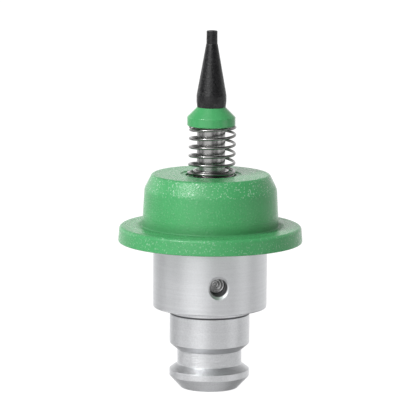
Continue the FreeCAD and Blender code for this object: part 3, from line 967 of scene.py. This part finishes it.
class NOZZLE_OT_collar(bpy.types.Operator):
    """Mould the green collar"""
    bl_idname = "nozzle.collar"
    bl_label = "Collar"

    def execute(self, context):
        s, tip, edge, finishes = groups(context, "plunger", "tip", "edges", "finishes")
        rim, low, high = COLLAR_HIGH[0], COLLAR_LOW[2], COLLAR_HIGH[2]
        mesh = turned_mesh("green_collar", rounded_outline([
            (s.stem_radius, low, 0),
            (rim, low, edge.flange_low),
            (rim, low + s.collar_rim, edge.collar_high),
            (tip.base_radius, high, edge.broken),
            (s.stem_radius, high, 0),
        ]), TIP_SIDES)
        # The collar's corner is put out of reach, so it gets no painted corner shade
        out_of_reach = low - 2 * MM
        finish = moulded_green("smooth_green", finishes, "collar", (rim, out_of_reach), high, high)
        place_piece("green_collar", mesh, finish, "plunger", "tip_collar")
        return {"FINISHED"}


class NOZZLE_OT_tip(bpy.types.Operator):
    """Turn the black tip and its nib"""
    bl_idname = "nozzle.tip"
    bl_label = "Black tip"

    def execute(self, context):
        s, plunger, edge, finishes = groups(context, "tip", "plunger", "edges", "finishes")
        widest, low, high = TIP_HIGH[0], TIP_LOW[2], TIP_HIGH[2]
        cone_top = high - s.nib_length
        mesh = turned_mesh("black_tip", rounded_outline([
            (plunger.stem_radius, low, 0),
            (s.base_radius, low, edge.light),
            (widest, low + s.widest_low, edge.belly_low),
            (widest, low + s.widest_high, edge.belly_high),
            (s.nib_base_radius + s.nib_step, cone_top, edge.eased),
            (s.nib_base_radius, cone_top + s.nib_rise, edge.broken),
            (s.nib_radius, high, edge.eased),
            (s.orifice_radius, high, edge.broken),
            (s.orifice_radius, high - s.orifice_depth, 0),
            (plunger.stem_bore, low + s.socket_depth, 0),
            (plunger.stem_radius, low + s.socket_depth, 0),
        ]), TIP_SIDES)
        finish = satin_black("satin_black", finishes)
        place_piece("black_tip", mesh, finish, "plunger", "nozzle_tip")
        return {"FINISHED"}


def direction(stage, around, rise):
    """From the nozzle towards a place that far round from the camera, positive to the right."""
    angle = stage.camera_turn + around
    return Vector((math.sin(angle) * math.cos(rise), -math.cos(angle) * math.cos(rise),
                   math.sin(rise)))


# Each soft light's place, in degrees round from the camera and above the horizon, and the
# angles from its middle at which it starts to fade and is gone
SOFT_LIGHTS = {
    "key": (-24, 16, 2, 16),
    "top": (-39, 49, 5, 40),
    "low_right": (30, -31, 2, 27),
    "low_left": (-90, -32, 4, 30),
    "back": (184, -7, 7, 45),
    "front": (-29, -1, 21, 43),
    "side": (71, -18, 2, 25),
    "left": (-126, 13, 4, 29),
    "right": (127, 6, 8, 46),
    "below": (-9, -89, 8, 40),
}
WHITE = (1.0, 1.0, 1.0)


class NOZZLE_OT_stage(bpy.types.Operator):
    """Set up the pale floor, the soft lights and the camera"""
    bl_idname = "nozzle.stage"
    bl_label = "Stage"

    def execute(self, context):
        stage = context.scene.nozzle_stage
        self.lay_floor(stage)
        self.light_world(context.scene, stage)
        self.hang_lamp(stage)
        self.set_camera(context.scene, stage)
        context.scene.view_settings.view_transform = "Standard"
        return {"FINISHED"}

    def lay_floor(self, stage):
        half, low = 2000 * MM, -0.01 * MM
        mesh = bpy.data.meshes.new("floor")
        mesh.from_pydata([(-half, -half, low), (half, -half, low), (half, half, low),
                          (-half, half, low)], [], [(0, 1, 2, 3)])
        material, sheet = new_material("pale_floor")
        sheet.principled({
            "Base Color": shaded(WHITE, stage.floor_tone), "Roughness": 0.9, "IOR": 1.2,
            "Emission Color": shaded(WHITE), "Emission Strength": stage.floor_glow,
        })
        mesh.materials.append(material)
        floor = new_object("floor", mesh)
        floor.visible_diffuse = False
        floor.visible_glossy = False
        floor.visible_shadow = False

    def light_world(self, scene, stage):
        """Soft round lights in the sky, which the camera itself sees as plain white."""
        world = bpy.data.worlds.new("studio")
        scene.world = world
        world.use_nodes = True
        sheet = NodeSheet(world.node_tree)
        ray = sheet.add("ShaderNodeTexCoord", output="Generated")
        light = stage.fill
        for name, angles in SOFT_LIGHTS.items():
            around, rise, inner, outer = map(math.radians, angles)
            near = sheet.add("ShaderNodeVectorMath", {"operation": "DOT_PRODUCT"},
                             {0: ray, 1: direction(stage, around, rise)}, "Value")
            glow = sheet.smooth_range(near, math.cos(outer), math.cos(inner))
            light = light + glow * getattr(stage, name)
        seen = sheet.add("ShaderNodeLightPath", output="Is Camera Ray")
        sky = sheet.add("ShaderNodeBackground", None,
                        {"Color": shaded(WHITE), "Strength": light * (1.0 - seen) + seen})
        sheet.add("ShaderNodeOutputWorld", None, {"Surface": sky})

    def hang_lamp(self, stage):
        lamp = bpy.data.lights.new("spark", "AREA")
        lamp.size = stage.spark_size
        lamp.energy = stage.spark
        holder = new_object("spark", lamp)
        away = direction(stage, stage.spark_turn, stage.spark_rise)
        holder.location = Vector((0, 0, stage.spark_aim)) + away * stage.spark_distance
        holder.rotation_euler = away.to_track_quat("Z", "Y").to_euler()
        holder.visible_camera = False

    def set_camera(self, scene, stage):
        back = direction(stage, 0, stage.camera_rise)
        right = direction(stage, math.pi / 2, 0)
        eye = Vector((0, 0, DISC_LOW[2])) + back * stage.camera_distance
        aim = Vector((0, 0, stage.aim_height)) - right * stage.aim_left
        depth = (eye - aim).normalized()
        side = Vector((0, 0, 1)).cross(depth).normalized()
        above = depth.cross(side)
        cos, sin = math.cos(stage.camera_roll), math.sin(stage.camera_roll)
        across = side * cos + above * sin
        upright = above * cos - side * sin
        lens = bpy.data.cameras.new("camera")
        lens.lens = stage.lens
        lens.sensor_width = 36
        lens.clip_start = 0.01
        lens.clip_end = 20
        camera = new_object("camera", lens)
        axes = Matrix((across, upright, depth)).transposed().to_4x4()
        camera.matrix_world = Matrix.Translation(eye) @ axes
        scene.camera = camera


OPERATORS = (
    NOZZLE_OT_body,
    NOZZLE_OT_pin,
    NOZZLE_OT_disc,
    NOZZLE_OT_bush,
    NOZZLE_OT_rod,
    NOZZLE_OT_spring,
    NOZZLE_OT_collar,
    NOZZLE_OT_tip,
    NOZZLE_OT_stage,
)


class NOZZLE_PT_panel(bpy.types.Panel):
    """The nozzle's pieces and sizes"""
    bl_idname = "NOZZLE_PT_panel"
    bl_label = "Pick-up nozzle"
    bl_space_type = "VIEW_3D"
    bl_region_type = "UI"
    bl_category = "Nozzle"

    def draw(self, context):
        for operator in OPERATORS:
            self.layout.operator(operator.bl_idname)
        for name, group in GROUPS.items():
            box = self.layout.box()
            box.label(text=group.__doc__)
            for key in group.__annotations__:
                box.prop(getattr(context.scene, name), key)


CLASSES = (*GROUPS.values(), *OPERATORS, NOZZLE_PT_panel)


def register():
    for item in CLASSES:
        bpy.utils.register_class(item)
    for name, group in GROUPS.items():
        setattr(bpy.types.Scene, name, PointerProperty(type=group))


def unregister():
    for name in GROUPS:
        delattr(bpy.types.Scene, name)
    for item in reversed(CLASSES):
        bpy.utils.unregister_class(item)


def main():
    register()
    for operator in OPERATORS:
        family, name = operator.bl_idname.split(".")
        getattr(getattr(bpy.ops, family), name)()


if __name__ == "__main__":
    main()
